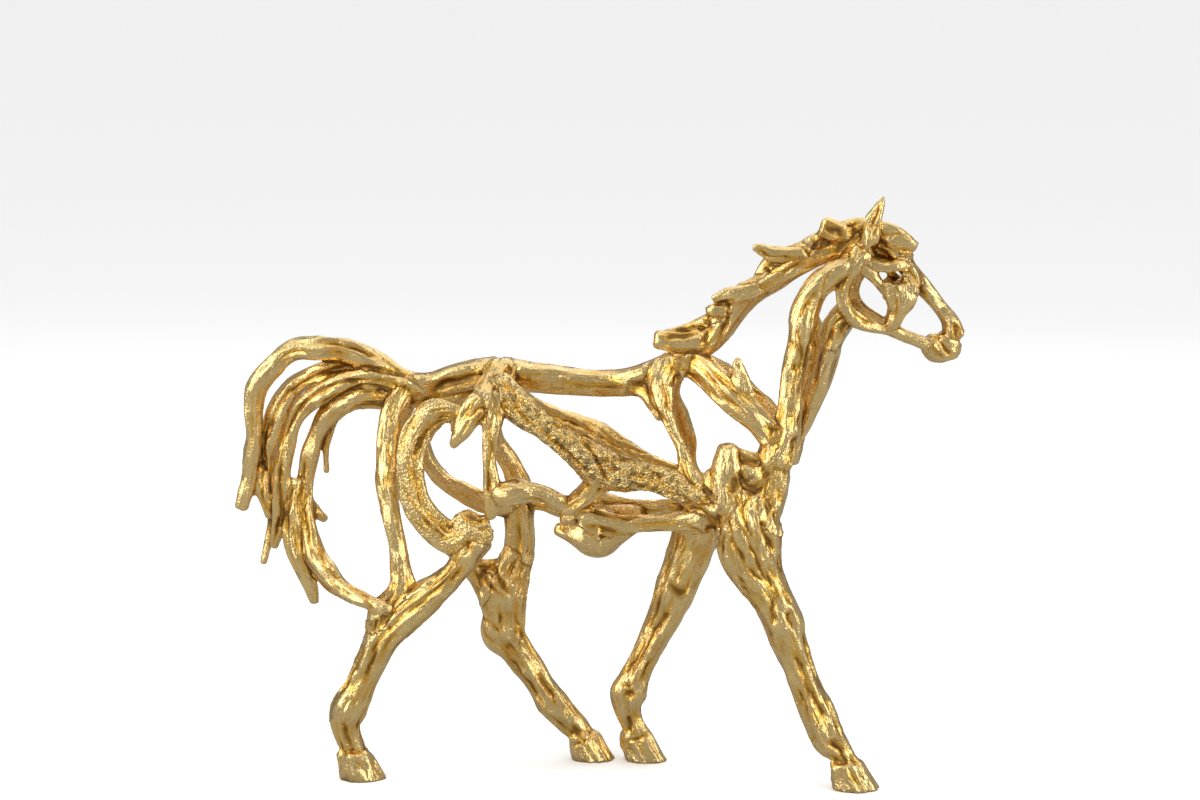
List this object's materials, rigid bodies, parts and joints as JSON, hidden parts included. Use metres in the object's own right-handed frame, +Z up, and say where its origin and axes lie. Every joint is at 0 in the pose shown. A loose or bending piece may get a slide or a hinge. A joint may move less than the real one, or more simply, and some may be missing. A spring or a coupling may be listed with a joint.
{
  "type": "horse figurine",
  "caption": "Openwork figurine of a walking horse, cast in one piece of resin with a gold-leaf finish. It stands on its own hooves.",
  "frame": {"origin": "middle of the figure's footprint, on the surface that it stands on", "axes": "+X towards the head, +Y towards the far side, +Z up"},
  "size_m": [0.5018, 0.1012, 0.4016],
  "materials": {
    "gold_leaf": "gold leaf look over cast resin, bright on the ridges and rubbed brown in the hollows"
  },
  "bodies": {
    "root": {"horse": "gold_leaf"}
  },
  "joints": []
}
